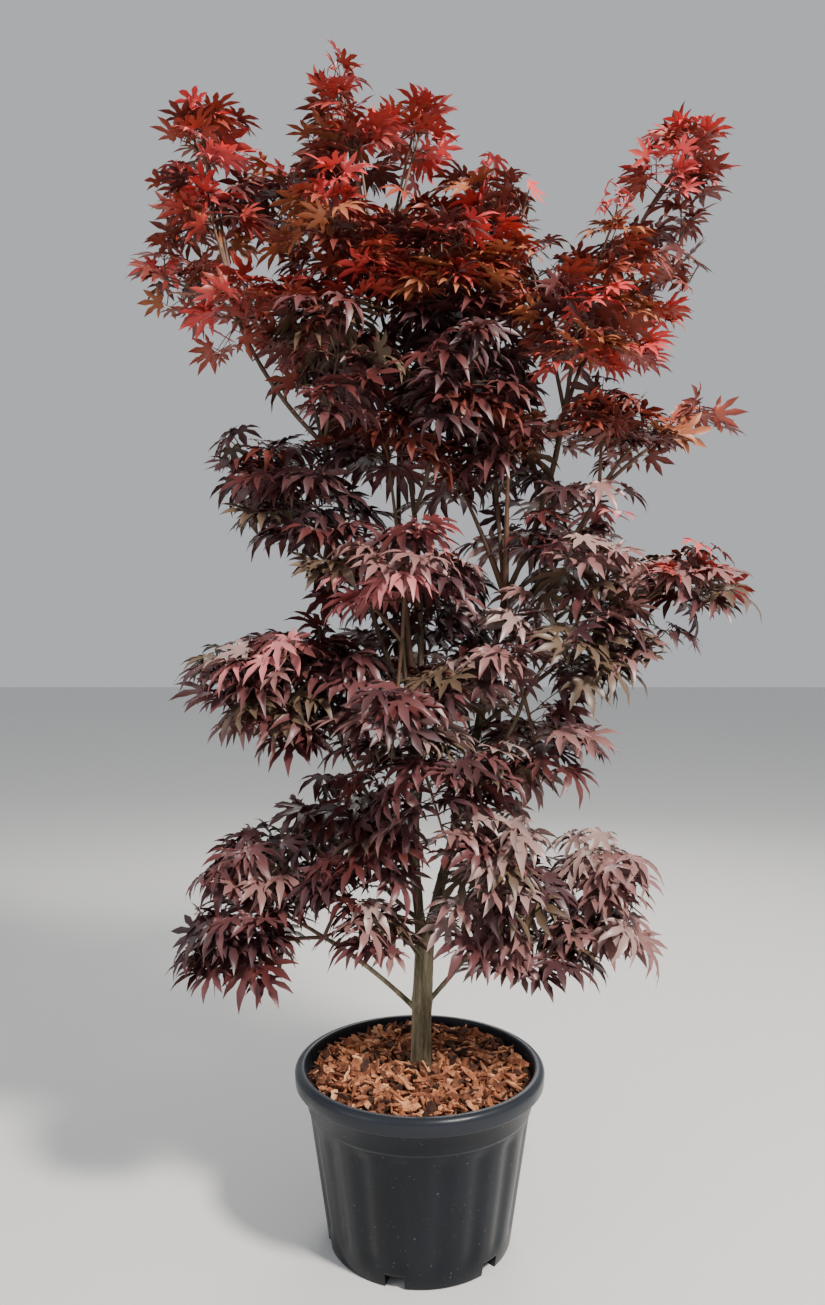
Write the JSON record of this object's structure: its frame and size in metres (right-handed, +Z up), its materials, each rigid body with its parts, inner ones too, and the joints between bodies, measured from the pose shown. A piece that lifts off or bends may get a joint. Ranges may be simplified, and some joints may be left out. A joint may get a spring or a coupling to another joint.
{
  "type": "potted japanese maple tree",
  "caption": "Young Japanese maple with dark red palmate leaves on slender forking boughs, growing in a round black nursery pot topped with bark mulch.",
  "frame": {"origin": "middle of the pot's flat underside", "axes": "+Z up along the trunk, +X to the right and -Y to the front as the picture sees it"},
  "size_m": [1.241, 0.5112, 2.3854],
  "materials": {
    "pot_plastic": "satin charcoal plastic",
    "soil": "dark damp compost",
    "mulch": "dry shredded bark",
    "bark": "striated grey-olive bark",
    "foliage": "thin satin leaves"
  },
  "bodies": {
    "root": {"pot": "pot_plastic", "potting_soil": "soil", "bark_mulch": "mulch", "trunk": "bark", "left_leader": "bark", "right_leader": "bark", "left_bough": "bark", "centre_bough": "bark", "back_bough": "bark", "far_left_bough": "bark", "rear_left_bough": "bark", "front_left_bough": "bark", "left_side_bough": "bark", "front_right_bough": "bark", "inner_right_bough": "bark", "right_bough": "bark", "right_side_bough": "bark", "upper_right_bough": "bark", "rear_right_bough": "bark", "long_right_bough": "bark", "mid_right_bough": "bark", "centre_front_bough": "bark", "centre_back_bough": "bark", "mid_left_bough": "bark", "low_inner_bough": "bark", "lowest_left_bough": "bark", "lowest_right_bough": "bark", "top_spire_foliage": "foliage", "second_spire_foliage": "foliage", "front_middle_foliage": "foliage", "upper_left_foliage": "foliage", "far_left_foliage": "foliage", "rear_left_foliage": "foliage", "left_shoulder_foliage": "foliage", "front_left_foliage": "foliage", "lower_left_foliage": "foliage", "rear_lower_left_foliage": "foliage", "rear_middle_foliage": "foliage", "upper_middle_foliage": "foliage", "rear_lower_right_foliage": "foliage", "lower_middle_foliage": "foliage", "right_spire_foliage": "foliage", "right_wing_foliage": "foliage", "right_arm_foliage": "foliage", "rear_right_foliage": "foliage", "front_right_foliage": "foliage", "right_side_foliage": "foliage", "right_middle_foliage": "foliage", "left_side_foliage": "foliage", "centre_front_foliage": "foliage", "low_front_foliage": "foliage", "centre_back_foliage": "foliage", "far_right_foliage": "foliage", "right_centre_foliage": "foliage", "right_lower_foliage": "foliage", "left_lower_foliage": "foliage", "low_inner_foliage": "foliage", "lowest_left_foliage": "foliage", "lowest_right_foliage": "foliage", "low_right_foliage": "foliage"}
  },
  "joints": []
}
